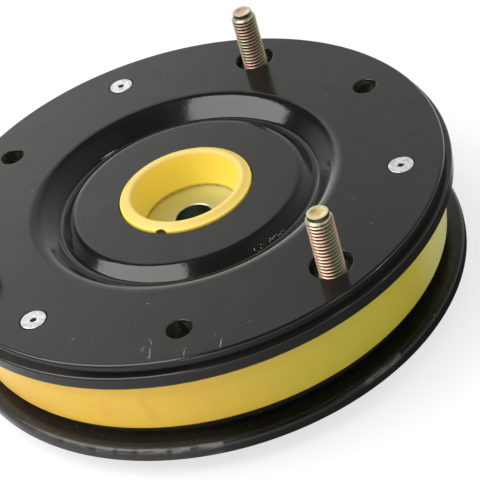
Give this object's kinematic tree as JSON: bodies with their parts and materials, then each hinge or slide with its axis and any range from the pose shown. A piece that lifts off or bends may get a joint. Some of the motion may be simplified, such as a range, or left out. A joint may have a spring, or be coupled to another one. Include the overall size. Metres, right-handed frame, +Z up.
{
  "type": "strut mount",
  "caption": "Round suspension strut mount with a riveted double plate, studs, a cup bush for the damper rod, a polyurethane ring and a turning spring seat.",
  "frame": {"origin": "on the damper rod's axis, in the flat upper face of the top plate, which bolts up against the body", "axes": "+Z up along the rod's axis, the way the studs point; +X midway between two studs"},
  "size_m": [0.2066, 0.2066, 0.077],
  "materials": {
    "plate_paint": "smooth gloss black coating",
    "seat_paint": "dull dark coating, scuffed",
    "ring_polyurethane": "smooth, slightly glossy",
    "bush_polyurethane": "smooth, slightly glossy",
    "gold_zinc": "yellow zinc plating",
    "rivet_zinc": "bright zinc plating",
    "bearing_steel": "ground",
    "cage_nylon": "moulded",
    "black_rubber": "matt"
  },
  "bodies": {
    "upper_mount": {"top_plate": "plate_paint", "stud_plate": "plate_paint", "stud_1": "gold_zinc", "stud_2": "gold_zinc", "stud_3": "gold_zinc", "rivet_1": "rivet_zinc", "rivet_2": "rivet_zinc", "rivet_3": "rivet_zinc", "upper_bush": "bush_polyurethane", "lower_bush": "bush_polyurethane", "rod_disc": "gold_zinc", "rod_sleeve": "gold_zinc", "bush_housing": "seat_paint", "isolator_ring": "ring_polyurethane", "upper_race": "bearing_steel", "inner_seal": "black_rubber", "outer_seal": "black_rubber", "retaining_ring": "seat_paint"},
    "lower_seat": {"lower_race": "bearing_steel", "spring_seat": "seat_paint", "spring_pad": "black_rubber"},
    "ball_set": {"ball_cage": "cage_nylon", "bearing_balls": "bearing_steel"}
  },
  "joints": [
    {"name": "seat_turn", "type": "hinge", "parent": "upper_mount", "child": "lower_seat", "pos_m": [0, 0, 0], "axis": [0, 0, 1], "continuous": true},
    {"name": "cage_turn", "type": "hinge", "parent": "upper_mount", "child": "ball_set", "pos_m": [0, 0, 0], "axis": [0, 0, 1], "continuous": true}
  ],
  "couplings": [
    {"joint": "cage_turn", "follows": "seat_turn", "ratio": 0.5}
  ]
}
